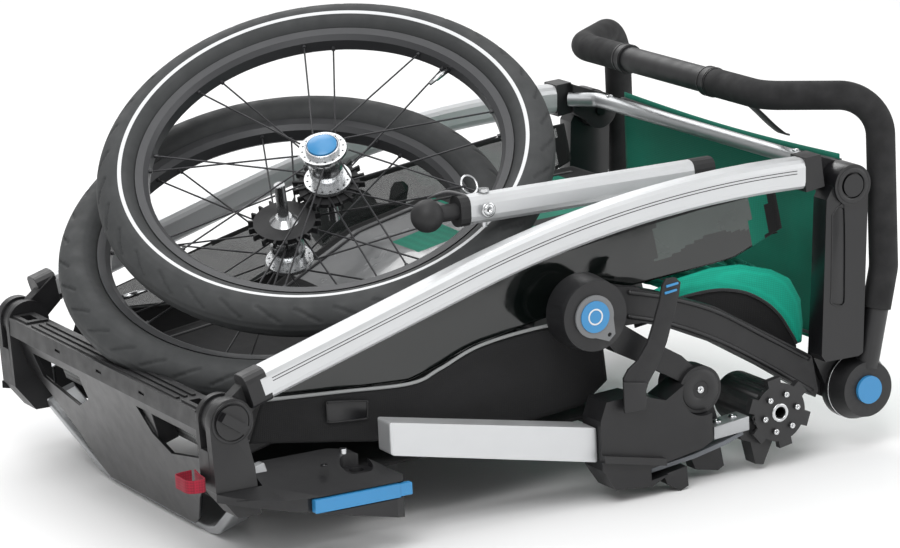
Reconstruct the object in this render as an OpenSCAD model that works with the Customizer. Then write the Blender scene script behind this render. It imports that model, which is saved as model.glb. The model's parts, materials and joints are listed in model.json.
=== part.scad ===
// Folded child bicycle trailer with both wheels and the tow arm stowed on top.
// X runs rearward, Y to the trailer's right, Z up. Millimetres.
// The origin is the middle of the bounding box on the ground.

/* [Frame] */
// Distance between the outer faces of the two side tubes.
frame_w = 566; // [520:2:620]
// Height of the front fold pivot above the ground.
front_pivot_z = 161.3; // [140:0.1:190]
// Distance from the front fold pivot to the rear upper pivot, along the ground.
upper_len = 747.6; // [700:0.1:780]
// Height of the side tube section.
tube_h = 34; // [26:1:40]
// Width of the side tube section.
tube_w = 30; // [22:1:34]

/* [Wheels] */
// Outer radius of the tyre.
tyre_r = 250.5; // [240:0.5:256]
// Radius of the tyre section.
tyre_section = 23.5; // [20:0.5:24]
// Number of spoke pairs.
spoke_pairs = 9; // [6:1:12]
// Radius of the quick-release stub axle.
stub_r = 6; // [5:0.1:7]
// Reach of the stub axle from the wheel's middle plane.
stub_len = 82; // [80:1:100]

/* [Handlebar] */
// Radius of the bare handlebar tube.
bar_r = 13.5; // [11:0.5:15]
// Radius of the foam grip.
foam_r = 16; // [14:0.5:18]
// Height of the handlebar's middle above the ground.
bar_z = 392; // [360:1:410]

/* [Tow arm] */
// Radius of the hitch ball.
ball_r = 17.5; // [14:0.5:20]

/* [Hidden] */
$fn = 48;
tyre_mid = tyre_r - tyre_section;
yo = frame_w / 2;
off_x = 386.56;
F = [6.6, front_pivot_z];
T = [6.6 + upper_len, 300.8];
H = [770, 69];
M = [424, 209];
B = [553, 106];
A = [654, 62.7];
wheel_up_c = [264.9, -0.7, 345.1];
wheel_up_n = [-0.3043, -0.4259, 0.8521];
wheel_lo_c = [222, 16, 260];
wheel_lo_n = [0.246, 0.364, -0.898];
guard_tilt = 17.6;
brake_z = -32.8;

function unit(v) = v / norm(v);

// Put a child drawn along +Z at point p, looking along n.
module aim(p, n, ref = [0, -1, 0]) {
  w = unit(n);
  u = unit(cross(w, ref));
  v = cross(w, u);
  multmatrix([[u.x, v.x, w.x, p.x], [u.y, v.y, w.y, p.y], [u.z, v.z, w.z, p.z], [0, 0, 0, 1]])
    children();
}

// Round bar between two points.
module rod(p, q, r) {
  aim(p, q - p, abs(unit(q - p).y) > 0.9 ? [1, 0, 0] : [0, -1, 0]) cylinder(r = r, h = norm(q - p));
}

// Quarter or part bend of a round bar at corner p, from direction a to direction b.
module bend(p, a, b, R, r) {
  ang = acos(a * b);
  t = R * tan(ang / 2);
  nrm = unit(b - a * (a * b));
  c = p - a * t + nrm * R;
  x = -nrm;
  z = cross(x, a);
  multmatrix([[x.x, a.x, z.x, c.x], [x.y, a.y, z.y, c.y], [x.z, a.z, z.z, c.z], [0, 0, 0, 1]])
    rotate_extrude(angle = ang) translate([R, 0]) circle(r = r);
}

// Bent pipe through a list of corner points.
module pipe(pts, R, r) {
  n = len(pts);
  d = [for (i = [0:n - 2]) unit(pts[i + 1] - pts[i])];
  t = [for (i = [0:n - 1]) (i == 0 || i == n - 1) ? 0 : R * tan(acos(d[i - 1] * d[i]) / 2)];
  e = [for (i = [0:n - 1]) (i == 0 || i == n - 1) ? 0 : 0.4];
  for (i = [0:n - 2])
    rod(pts[i] + d[i] * (t[i] - e[i]), pts[i + 1] - d[i] * (t[i + 1] - e[i + 1]), r);
  for (i = [1:n - 2]) bend(pts[i], d[i - 1], d[i], R, r + 0.04);
}

// Cylinder along Y between y0 and y1, centred at c in the XZ plane.
module ycyl(c, y0, y1, r, r2 = -1) {
  translate([c.x, y1, c.y]) rotate([90, 0, 0])
    cylinder(r1 = r2 < 0 ? r : r2, r2 = r, h = y1 - y0);
}

// Flat plate in the XZ plane, from y0 to y1.
module plate(pts, y0, y1) {
  translate([0, y1, 0]) rotate([90, 0, 0]) linear_extrude(y1 - y0) polygon(pts);
}

module both() {
  children();
  mirror([0, 1, 0]) children();
}

module side(s) {
  mirror([0, s > 0 ? 1 : 0, 0]) children();
}

// Points of a rounded rectangle centred on the origin.
function rr(w, h, r, n = 3) = [for (k = [0:3]) for (i = [0:n])
  let (a = 90 * k + 90 * i / n, sx = (k == 0 || k == 3) ? 1 : -1, sy = (k < 2) ? 1 : -1)
  [sx * (w / 2 - r) + r * cos(a), sy * (h / 2 - r) + r * sin(a)]];

// Outline of the footwell guard, across the trailer and up its slope.
function guard_pts(dx, z0, z1) = [
  [-148 - dx, z0 + 12], [-128 - dx, z0], [128 + dx, z0], [148 + dx, z0 + 12],
  [176 + dx, z0 + 45], [262 + dx, 120], [262 + dx, z1], [-262 - dx, z1],
  [-262 - dx, 120], [-176 - dx, z0 + 45]];

// Frame of the sloping footwell guard: local X across, Y up the slope, Z rearward.
module on_guard() {
  a = guard_tilt;
  multmatrix([[0, -sin(a), cos(a), 38], [1, 0, 0, 0], [0, cos(a), sin(a), 0], [0, 0, 0, 1]])
    children();
}

// ---------------------------------------------------------------- base
module front_crossbar() color([0.12, 0.12, 0.13]) {
  difference() {
    union() {
      translate([-17, -243.6, 150]) cube([34, 487.2, 20]);
      for (i = [0:2]) translate([-13 + i * 9, -190, 169]) cube([4, 380, 3]);
      for (s = [-1, 1]) translate([-13, s * 222 - 20, 169]) cube([26, 40, 3.4]);
    }
    // Hollow for the stowed lower tyre.
    at_lower() rotate_extrude($fn = 96) translate([tyre_mid, 0]) circle(r = tyre_section + 1.6);
    // Slots near the ends and a long one in the middle.
    for (s = [-1, 1]) translate([-8, s * 222 - 12, 160]) cube([12, 24, 20]);
    for (s = [-1, 0, 1]) translate([-18, s * 110 - 7, 158]) cube([3, 14, 3]);
  }
}

bracket_pts = [[-17.9, 161], [-15, 90], [8, 60], [34, 60], [30, 110], [22, 148], [6, 150]];

module corner_brackets() color([0.13, 0.13, 0.14]) both() {
  difference() {
    union() {
      ycyl(F, -279, -268, 24.5);
      plate(bracket_pts, -279, -268);
    }
    // Recess for the knob.
    ycyl(F, -280, -275.4, 18.2);
  }
  ycyl(F, -252, -244, 24.5);
  ycyl(F, -269, -251, 6);
  plate(bracket_pts, -252, -244);
  plate([[-17, 132], [-15, 90], [8, 60], [34, 60], [30, 108], [20, 130]], -268.5, -251.5);
}

module footwell_guard() color([0.1, 0.1, 0.11]) on_guard() {
  difference() {
    linear_extrude(4) polygon(guard_pts(-20, 8, 151));
    for (s = [-1, 1]) translate([0, 0, -1]) linear_extrude(6)
      polygon([[s * 66, 140], [s * 212, 140], [s * 206, 112], [s * 120, 96], [s * 84, 112]]);
  }
  for (s = [-1, 1]) for (y = [84]) translate([0, 0, 3]) linear_extrude(22)
    polygon([[s * y - 14, 148], [s * y + 14, 148], [s * y + 4, 96], [s * y - 4, 96]]);
}

module footwell_mesh() color([0.75, 0.75, 0.76]) on_guard()
  translate([-225, 90, 30]) cube([450, 54, 1.5]);

module bumper_bar() color([0.72, 0.73, 0.74]) on_guard() translate([0, 0, 5]) difference() {
  linear_extrude(38) polygon([[-262, 80], [-252, 64], [-154, 4], [-130, -1.6], [130, -1.6],
    [154, 4], [252, 64], [262, 80], [262, 100], [-262, 100]]);
  translate([0, 0, -1]) linear_extrude(40) polygon([[-252, 101], [-252, 84], [-243, 70],
    [-149, 13], [-128, 7.4], [128, 7.4], [149, 13], [243, 70], [252, 84], [252, 101]]);
}

module pull_loop() color([0.62, 0.05, 0.12]) translate([-20.3, -238, 92]) rotate([0, 0, 8]) {
  difference() {
    translate([-22, -34, 0]) cube([22, 40, 14]);
    translate([-20.5, -32, -1]) cube([19, 36.5, 16]);
  }
}

module wing_body() {
  difference() {
    linear_extrude(112) polygon([[-16, -281], [10, -297], [50, -308], [110, -314], [172, -314],
      [182, -310], [186, -302], [148, -252], [128, -246], [36, -246], [36, -280.5]]);
    // The top falls outward and toward the front.
    translate([-60, -240, 108]) rotate([24, 0, 0]) translate([0, -120, 0]) cube([300, 200, 60]);
    // The underside rises toward the front.
    plate([[-80, -10], [-80, 95.4], [200, 33], [200, -10]], -330, -240);
    // Cup and slot that take the upright of an accessory.
    translate([146, -276, 86]) cylinder(r = 17, h = 40);
    translate([146, -276, 50]) cylinder(r = 8, h = 60);
    // Open socket at the front end.
    translate([-4, -304, 82]) rotate([0, 0, -24]) cube([22, 14, 22]);
    // Slot for the latch.
    translate([72, -315, 59]) cube([130, 9, 17]);
  }
}

module wings() color([0.14, 0.14, 0.15]) both() wing_body();

module wing_screws() color([0.7, 0.7, 0.7]) both() {
  for (p = [[142, -255]]) translate([p.x, p.y, 99]) cylinder(r = 4, h = 6);
}

module base_rails() color([0.8, 0.8, 0.8]) both() {
  plate([[179, 98.8], [179, 134.2], [424, 86], [424, 48]], -292, -262.4);
}

module rear_bracket() {
  difference() {
    union() {
      plate([[424.2, 94], [432, 114], [468, 116], [505, 104], [530, 118], [562, 96], [562, 50],
        [505, 22], [485, 12], [440, 16], [424.2, 40]], -300, -262);
      plate([[424.2, 50], [500, 34], [500, 42], [424.2, 58]], -306, -299);
      // Pivot lug of the lower link.
      ycyl(B, -266, -244, 24);
      plate([[520, 60], [590, 60], [576, 108], [530, 108]], -266, -244);
      plate([[470, 14], [560, 44], [560, 56], [470, 40]], -262, -244);
      // Claws that hold the axle of the brake.
      plate([[497, 30], [530, 34], [532, 4], [522, 0], [506, 10]], -296, -276);
      plate([[548, 44], [588, 34], [592, 10], [584, 6], [556, 12], [549, 30]], -272, -254);
    }
    // Recess that the leaf spring is clamped in.
    plate([[484, 19], [484, 32.4], [600, 52], [600, 36]], -301, -273.5);
    ycyl(B, -301, -267, 27);
  }
}

module rear_brackets() color([0.12, 0.12, 0.13]) both() {
  rear_bracket();
  ycyl(B, -270, -260, 6);
}

module rear_crossbeam() color([0.25, 0.25, 0.26]) ycyl([490, 62], -243.8, 243.8, 12);

module floor_fabric() color([0.08, 0.08, 0.09]) {
  plate([[86, 62.6], [86, 68.6], [300, 74], [470, 84], [470, 78], [300, 68]], -228, 228);
}

module lower_side_fabric() color([0.09, 0.09, 0.1]) both() {
  plate([[46, 120], [62, 158], [152, 152], [234, 148], [281, 159], [318, 176], [391, 186],
    [470, 184], [478, 120], [440, 94], [372, 88], [211, 95]], -236, -232);
}

module knob() color([0.15, 0.15, 0.16]) {
  ycyl(F, -281, -275.6, 18);
  translate([F.x, -284.5, F.y]) rotate([0, 35, 0]) cube([30, 8, 10], center = true);
}
module knob_left() knob();
module knob_right() side(1) knob();

module latch() color([0.2, 0.55, 0.78]) {
  translate([78, -315.5, 60.4]) cube([98, 9, 14.2]);
  translate([176, -314.5, 61]) cube([14, 7, 13]);
}
module latch_left() latch();
module latch_right() side(1) latch();

// ---------------------------------------------------------------- upper frame
tube_y = yo - tube_w / 2;
arc_r = 1280;
arc_a = 16.57;
arc_c = [655.1, -960.5];
arc_s = arc_c + arc_r * [-sin(arc_a), cos(arc_a)];
run_len = 258.8;
run_s = arc_s - run_len * [cos(arc_a), sin(arc_a)];

module side_tubes() color([0.82, 0.83, 0.83]) both() translate([0, -tube_y, 0]) {
  // Straight front run.
  translate([run_s.x, 0, run_s.y]) rotate([0, 90 - arc_a, 0])
    linear_extrude(run_len + 0.5) polygon(rr(tube_h + 0.1, tube_w + 0.1, 9));
  // Long shallow bow to the rear.
  translate([arc_c.x, 0, arc_c.y]) rotate([90, 0, 0]) rotate([0, 0, 88])
    rotate_extrude(angle = arc_a + 2, $fn = 720) translate([arc_r, 0])
      polygon(rr(tube_h, tube_w, 9));
}

module tube_collars() color([0.12, 0.12, 0.13]) both() {
  // Front knuckle and collar.
  difference() {
    union() {
      ycyl(F, -267.5, -252.5, 22);
      plate([[4, 172], [10, 182], [45, 209], [50, 178], [28, 158], [14, 150]], -267.5, -252.5);
    }
    ycyl(F, -300, -240, 6.05);
  }
  translate([27, -tube_y, 188]) rotate([0, 90 - arc_a, 0])
    linear_extrude(24) polygon(rr(tube_h + 3, tube_w - 0.5, 9));
  // Rear collar and pivot housing.
  difference() {
    union() {
      plate([[699.9, 299], [699.9, 337], [720, 338], [724, 302]], -283, -253);
      plate([[718, 302], [718, 337], [T.x, T.y + 22], [T.x, T.y - 22]], -262, -246);
      ycyl(T, -262, -246, 22);
    }
    ycyl(T, -300, -240, 6.05);
  }
}

module hoop() color([0.75, 0.76, 0.77]) {
  pipe([[716, -252.8, 318], [741, -227, 318], [741, 227, 318], [716, 252.8, 318]], 18, 8.5);
}

module top_cover() color([0.3, 0.31, 0.32]) {
  plate([[42, 108], [100, 122], [226, 140], [300, 164], [400, 216], [500, 238], [700, 246],
    [700, 242], [500, 234], [400, 212], [300, 160], [226, 136], [100, 118], [42, 104]], -224, 224);
}

module side_windows() color([0.12, 0.13, 0.13]) both() {
  plate([[60, 172], [240, 222], [420, 268], [600, 292], [690, 296], [704, 250], [640, 226],
    [500, 214], [380, 192], [300, 172], [240, 154], [120, 160]], -230, -227.4);
}

module seat_fabric() color([0.05, 0.55, 0.42]) {
  plate([[500, 190], [573, 214], [650, 218], [714, 194], [730, 150], [728, 118], [724, 118],
    [726, 150], [711, 191], [649, 214], [574, 210], [501, 186]], -222, 222);
}

// ---------------------------------------------------------------- roof arms
module arm_plates() color([0.12, 0.12, 0.13]) both() {
  difference() {
    union() {
      ycyl(T, -292, -262.5, 23);
      plate([[731, 302], [722.5, 288], [711, 116], [716, 108.6], [759, 108.6], [764.6, 111.4],
        [777, 302]], -288, -262.4);
      // Inner web that carries the lower hub.
      plate([[724, 200], [716, 110], [738, 60], [800, 60], [770, 200]], -262.4, -252);
      ycyl(H, -262.4, -252, 38);
    }
    // Badge panel, left plain.
    plate([[729, 270], [725, 190], [724, 172], [741, 168], [744, 190], [746, 275], [738, 280]],
      -289, -286.6);
    ycyl(H, -300, -240, 8.05);
    ycyl(T, -293, -289.5, 15);
  }
  ycyl(T, -293.5, -289, 12.5);
  ycyl(T, -263, -243, 6);
}

module roof_fabric() color([0.02, 0.42, 0.33]) {
  plate([[775, 100], [780, 100], [779, 322], [771, 326], [771, 322], [775, 319]], -230, 230);
}

// ---------------------------------------------------------------- fold links
module rear_links() color([0.1, 0.1, 0.11]) both() {
  difference() {
    union() {
      plate([[474, 191], [475, 225.5], [531.8, 209], [593.8, 185], [656, 147], [715, 111],
        [722, 70], [718, 63], [655, 105.4], [592.3, 144], [530.3, 172.8]], -262, -238.5);
      plate([[700, 118], [745, 92], [744, 54], [700, 76]], -250.5, -238.5);
      ycyl(H, -250.5, -238.5, 27);
      ycyl(M, -262, -250, 30);
      plate([[M.x, M.y + 26], [500, 221], [500, 182], [M.x, M.y - 26]], -262, -250);
    }
    ycyl(H, -300, -230, 8.05);
    ycyl(M, -270, -240, 12);
  }
}

module lower_links() color([0.12, 0.12, 0.13]) both() {
  difference() {
    union() {
      ycyl(M, -298, -265, 38, 41);
      plate([[440, 178], [452.4, 162.7], [489.8, 142.3], [540, 112], [560, 120], [533.5, 146],
        [491, 172], [454, 198]], -288, -268);
      ycyl(B, -292, -267.2, 26);
    }
    ycyl(B, -275, -260, 6.05);
    ycyl([M.x - 2, M.y], -299, -292, 17.1);
  }
}

module hub_rings() color([0.5, 0.51, 0.52]) both() difference() {
  union() {
    ycyl([M.x - 2, M.y], -300.4, -298.1, 23);
    plate([[M.x - 2, M.y - 23], [M.x + 14, M.y - 29], [M.x + 22, M.y - 22], [M.x + 20, M.y]],
      -300.4, -298.1);
  }
  ycyl([M.x - 2, M.y], -302, -297, 17.1);
  ycyl([M.x + 15, M.y - 22], -302, -297, 2.4);
}

module fold_button() color([0.2, 0.55, 0.78]) ycyl([M.x - 2, M.y], -301.6, -295.2, 17);
module fold_button_left() fold_button();
module fold_button_right() side(1) fold_button();

// ---------------------------------------------------------------- handlebar

module handle_tube() color([0.13, 0.13, 0.14]) {
  both() {
    difference() {
      union() {
        ycyl(H, -288, -262.8, 31, 38);
        rod([775, -277, 92], [789.9, -278, 156], bar_r);
      }
      ycyl(H, -289, -281, 15.6);
    }
    ycyl(H, -263, -236, 8);
  }
}

module foam_grip() color([0.07, 0.07, 0.08]) {
  both() {
    pipe([[790.1, -278.02, 156.8], [800, -279, 201], [800, -279, bar_z], [703, -196, bar_z],
      [703, -100.2, bar_z]], 44, foam_r);
  }
}

module centre_sleeve() color([0.2, 0.2, 0.21]) {
  rod([703, -100, bar_z], [703, 100, bar_z], foam_r - 1.5);
  both() rod([703, -100, bar_z], [703, -84, bar_z], foam_r + 0.6);
}

module bar_button() color([0.2, 0.55, 0.78]) ycyl(H, -292, -284.2, 15.5);
module bar_button_left() bar_button();
module bar_button_right() side(1) bar_button();

module wrist_strap() color([0.15, 0.15, 0.16]) {
  plate([[708, 375.6], [711, 375.6], [756.5, 335], [753.5, 335]], -168, -150);
}

// ---------------------------------------------------------------- wheels
module hub_body() {
  difference() {
    union() {
      cylinder(r = 17.5, h = 44, center = true);
      for (z = [-24, 20]) translate([0, 0, z]) cylinder(r = 26, h = 4);
      translate([0, 0, 23.9]) cylinder(r = 19, h = 4);
    }
    translate([0, 0, -60]) cylinder(r = stub_r + 0.05, h = 84);
    translate([0, 0, 23.2]) cylinder(r = 16.05, h = 6);
    for (i = [0:15]) rotate([0, 0, i * 22.5]) translate([22.5, 0, -30])
      cylinder(r = 1.2, h = 60);
  }
}

module spokes() {
  for (i = [0:spoke_pairs - 1]) for (s = [-1, 1]) rotate([0, 0, i * 360 / spoke_pairs])
    rod([26.4, s * 10, s * 22], [188, s * 16, s * 4], 1);
}

module rim() {
  rotate_extrude() polygon([[193, -7], [193, 7], [198, 12], [206.5, 13.5], [206.5, 11],
    [205, 9.5], [205, -9.5], [206.5, -11], [206.5, -13.5], [198, -12]]);
  for (i = [0:spoke_pairs - 1]) for (s = [-1, 1]) rotate([0, 0, i * 360 / spoke_pairs])
    rod([188.6, s * 16, s * 4], [194, s * 16, s * 3.5], 2.1);
}

module tyre() {
  a = 58;
  pr = concat([for (i = [0:24]) let (t = -180 + a + i * (360 - 2 * a) / 24)
    [tyre_mid + tyre_section * cos(t), tyre_section * sin(t)]], [[206.7, 12], [206.7, -12]]);
  rotate_extrude($fn = 96) polygon(pr);
}

module axle() {
  translate([0, 0, -stub_len]) cylinder(r = stub_r, h = stub_len + 23);
  translate([0, 0, brake_z - 6.2]) cylinder(r1 = 9, r2 = 16, h = 6);
}

module brake_ring() difference() {
  union() {
    translate([0, 0, brake_z]) cylinder(r = 34, h = 5);
    translate([0, 0, brake_z + 4.9]) cylinder(r = 24, h = -24.1 - brake_z - 4.9);
    for (i = [0:17]) rotate([0, 0, i * 20]) translate([12, -1.2, brake_z]) cube([28, 2.4, 7]);
  }
  translate([0, 0, -60]) cylinder(r = stub_r + 0.02, h = 60);
}

module cap() translate([0, 0, 26.2]) intersection() {
  cylinder(r = 16, h = 9);
  translate([0, 0, -30]) sphere(r = 37.5);
}

module at_upper() aim(wheel_up_c, wheel_up_n) rotate([0, 0, 18.1]) children();
module at_lower() aim(wheel_lo_c, wheel_lo_n) rotate([0, 0, 37.8]) children();

module axle_upper() color([0.75, 0.76, 0.77]) at_upper() axle();
module brake_ring_upper() color([0.1, 0.1, 0.1]) at_upper() brake_ring();
module cap_upper() color([0.2, 0.55, 0.78]) at_upper() cap();
module hub_upper() color([0.7, 0.71, 0.72]) at_upper() hub_body();
module spokes_upper() color([0.1, 0.1, 0.1]) at_upper() spokes();
module rim_upper() color([0.3, 0.3, 0.31]) at_upper() rim();
module tyre_upper() color([0.22, 0.23, 0.23]) at_upper() tyre();
module axle_lower() color([0.75, 0.76, 0.77]) at_lower() axle();
module brake_ring_lower() color([0.1, 0.1, 0.1]) at_lower() brake_ring();
module cap_lower() color([0.2, 0.55, 0.78]) at_lower() cap();
module hub_lower() color([0.7, 0.71, 0.72]) at_lower() hub_body();
module spokes_lower() color([0.1, 0.1, 0.1]) at_lower() spokes();
module rim_lower() color([0.3, 0.3, 0.31]) at_lower() rim();
module tyre_lower() color([0.22, 0.23, 0.23]) at_lower() tyre();

// ---------------------------------------------------------------- tow arm
tow_a = [272.6, -218, 325];
tow_b = [602.4, -215, 323.1];

module tow_tube() color([0.82, 0.83, 0.83]) {
  d = unit(tow_b - tow_a);
  p = tow_a + d * 46;
  aim(p, d) difference() {
    linear_extrude(276) polygon(rr(32, 24, 10));
    translate([-20, 0, 22]) rotate([0, 90, 0]) cylinder(r = 3.1, h = 40);
  }
}

module tow_ball() color([0.08, 0.08, 0.08]) {
  d = unit(tow_b - tow_a);
  aim(tow_a, d) sphere(r = ball_r);
  rod(tow_a + d * 12, tow_a + d * 36, 9);
  aim(tow_a + d * 34, d) linear_extrude(11.9) polygon(rr(33, 25, 10));
  q = tow_a + d * 322;
  aim(q + d * 0.1, d) linear_extrude(26) polygon(rr(33, 25, 10));
}

module hitch_pin() color([0.6, 0.6, 0.62]) {
  d = unit(tow_b - tow_a);
  aim(tow_a + d * 46, d) translate([-17, 0, 22]) rotate([0, 90, 0]) {
    cylinder(r = 3, h = 38);
    translate([0, 0, -3]) cylinder(r = 6, h = 3);
  }
}

// ---------------------------------------------------------------- suspension
module swing() color([0.11, 0.11, 0.12]) {
  difference() {
    union() {
      ycyl(A, -284, -200, 28);
      ycyl(A, -290, -283.9, 32);
      for (i = [0:5]) rotate_y(A, i * 60 + 20) translate([A.x + 26, -290, A.y - 8])
        cube([13, 8, 16]);
      plate([[607.6, 54], [640, 60], [650, 34], [636, 6], [626, 8], [620, 34], [607.6, 38.6]],
        -282, -262);
      // Clamp block over the leaf spring.
      plate([[569, 48], [569, 61], [612, 66], [612, 51]], -292, -267);
    }
    ycyl(A, -291, -240, 6.1);
  }
  for (i = [0:5]) rotate_y(A, i * 60 + 50) ycyl([A.x + 21, A.y], -293, -289.9, 3);
}

module rotate_y(c, a) translate([c.x, 0, c.y]) rotate([0, a, 0]) translate([-c.x, 0, -c.y])
  children();

module leaf() color([0.36, 0.39, 0.42]) {
  plate([[490, 24], [490, 29], [542, 35.4], [580, 43], [606, 50.6], [607, 46.4], [581, 38],
    [543, 30.2]], -290, -274);
}
module swing_left() swing();
module swing_right() side(1) swing();
module leaf_left() leaf();
module leaf_right() side(1) leaf();

// ---------------------------------------------------------------- hold-down straps
module strap() color([0.1, 0.1, 0.11]) {
  plate([[449, 100], [449, 142], [472, 142], [478, 150], [492, 190], [500, 236], [507, 240],
    [520, 238], [524, 228], [512, 190], [498, 150], [480, 128], [474, 100]], -309, -304.5);
}
module strap_left() strap();
module strap_right() side(1) strap();

translate([-off_x, 0, 0]) {
  front_crossbar();
  corner_brackets();
  footwell_guard();
  footwell_mesh();
  bumper_bar();
  pull_loop();
  wings();
  wing_screws();
  base_rails();
  rear_brackets();
  rear_crossbeam();
  floor_fabric();
  lower_side_fabric();
  knob_left();
  knob_right();
  latch_left();
  latch_right();
  side_tubes();
  tube_collars();
  hoop();
  top_cover();
  side_windows();
  seat_fabric();
  arm_plates();
  roof_fabric();
  rear_links();
  lower_links();
  hub_rings();
  fold_button_left();
  fold_button_right();
  handle_tube();
  foam_grip();
  centre_sleeve();
  bar_button_left();
  bar_button_right();
  wrist_strap();
  axle_upper();
  brake_ring_upper();
  cap_upper();
  hub_upper();
  spokes_upper();
  rim_upper();
  tyre_upper();
  axle_lower();
  brake_ring_lower();
  cap_lower();
  hub_lower();
  spokes_lower();
  rim_lower();
  tyre_lower();
  tow_tube();
  tow_ball();
  hitch_pin();
  swing_left();
  swing_right();
  leaf_left();
  leaf_right();
  strap_left();
  strap_right();
}
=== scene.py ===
"""Looks of the folded child bicycle trailer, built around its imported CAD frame. Metres."""
import json
import math

import bmesh
import bpy
import numpy as np
from mathutils import Matrix, Vector, noise


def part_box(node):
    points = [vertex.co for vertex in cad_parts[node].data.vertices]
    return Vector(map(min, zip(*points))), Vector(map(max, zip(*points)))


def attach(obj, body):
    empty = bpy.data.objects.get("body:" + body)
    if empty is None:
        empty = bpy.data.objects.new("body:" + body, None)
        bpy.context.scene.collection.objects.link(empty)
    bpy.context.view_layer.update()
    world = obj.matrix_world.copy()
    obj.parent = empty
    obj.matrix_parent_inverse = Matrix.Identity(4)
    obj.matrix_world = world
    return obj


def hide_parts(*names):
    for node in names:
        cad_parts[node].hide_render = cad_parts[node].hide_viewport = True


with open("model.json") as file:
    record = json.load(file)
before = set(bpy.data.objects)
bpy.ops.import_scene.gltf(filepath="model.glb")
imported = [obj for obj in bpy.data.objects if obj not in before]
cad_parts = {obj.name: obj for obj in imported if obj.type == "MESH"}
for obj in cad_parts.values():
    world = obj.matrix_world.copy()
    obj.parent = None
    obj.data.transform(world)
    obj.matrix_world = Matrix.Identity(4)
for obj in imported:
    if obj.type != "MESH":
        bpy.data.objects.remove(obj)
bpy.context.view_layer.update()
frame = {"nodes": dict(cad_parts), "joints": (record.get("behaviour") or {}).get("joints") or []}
NODES = frame["nodes"]
OFF_X = 0.38656  # from the CAD's working origin, near the front pivots, back to the row origin
SIDES = ((-1, "left"), (1, "right"))

# Pivots and hubs as (x, z) in millimetres from the CAD's working origin.
FRONT_PIVOT = (6.6, 161.3)
REAR_PIVOT = (754.2, 300.8)
HANDLE_HUB = (770, 69)
FOLD_BUTTON = (422, 209)
LINK_PIVOT = (553, 106)
AXLE_BORE = (654, 62.7)


def P(x, y, z):
    """A point given in millimetres from the CAD's working origin, in the row frame."""
    return Vector((x / 1000 - OFF_X, y / 1000, z / 1000))


def at_pivot(spot, y):
    """The point at y millimetres on the axis of an (x, z) pivot."""
    return P(spot[0], y, spot[1])


# ---------------------------------------------------------------- camera and light
# The camera was solved from the wheels' ellipses and the frame's left-right pairs.
CAMERA_AT = (-2.1069, -4.0299, 1.2948)
CAMERA_RIGHT = (0.8777, -0.4769, -0.0460)
CAMERA_FORWARD = (0.4547, 0.8595, -0.2335)
LENS, SENSOR = 169.24, 36

# Each light's name, place, size and power.
LIGHTS = (("key", (-1.6, -2.2, 3.2), 2.2, 78), ("fill", (2.8, -2.0, 1.6), 2.4, 34),
          ("back", (0.5, 2.8, 2.6), 2.4, 52), ("top", (0, 0, 3.6), 2.6, 34))
LIGHT_TARGET = (0, 0, 0.15)
WORLD_STRENGTH = 0.62


def make_camera():
    """The camera of the photograph."""
    data = bpy.data.cameras.new("camera")
    data.sensor_width, data.lens = SENSOR, LENS
    data.clip_start, data.clip_end = 0.05, 60
    cam = bpy.data.objects.new("camera", data)
    right = Vector(CAMERA_RIGHT).normalized()
    forward = Vector(CAMERA_FORWARD).normalized()
    up = right.cross(forward).normalized()
    right = forward.cross(up)
    basis = Matrix((right, up, -forward)).transposed().to_4x4()
    cam.matrix_world = Matrix.Translation(CAMERA_AT) @ basis
    bpy.context.scene.collection.objects.link(cam)
    bpy.context.scene.camera = cam


def area_light(name, place, size, power):
    """A square light that points at the middle of the trailer."""
    data = bpy.data.lights.new(name, "AREA")
    data.shape, data.size, data.energy = "SQUARE", size, power
    lamp = bpy.data.objects.new(name, data)
    lamp.location = place
    lamp.rotation_euler = (Vector(LIGHT_TARGET) - Vector(place)).to_track_quat("-Z", "Y").to_euler()
    bpy.context.scene.collection.objects.link(lamp)


def make_studio():
    """Four soft lights and a white surround."""
    for light in LIGHTS:
        area_light(*light)
    world = bpy.data.worlds.new("studio")
    world.use_nodes = True
    world.node_tree.nodes["Background"].inputs[0].default_value = (1, 1, 1, 1)
    world.node_tree.nodes["Background"].inputs[1].default_value = WORLD_STRENGTH
    bpy.context.scene.world = world
    bpy.context.scene.view_settings.view_transform = "Standard"


# ---------------------------------------------------------------- materials
NOISE_LOW, NOISE_HIGH = 0.3, 0.7  # nearly all of a noise texture's values lie between these
WORN_FROM, WORN_TO = 0.52, 0.62  # pointiness at which an edge starts to look worn, and is worn most
WORN_TONE = (0.5, 0.5, 0.5, 1)
GLOSS_VARY = 0.14
WAVE_PERIOD = 0.314  # length of one band of a wave texture at scale 1


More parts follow.
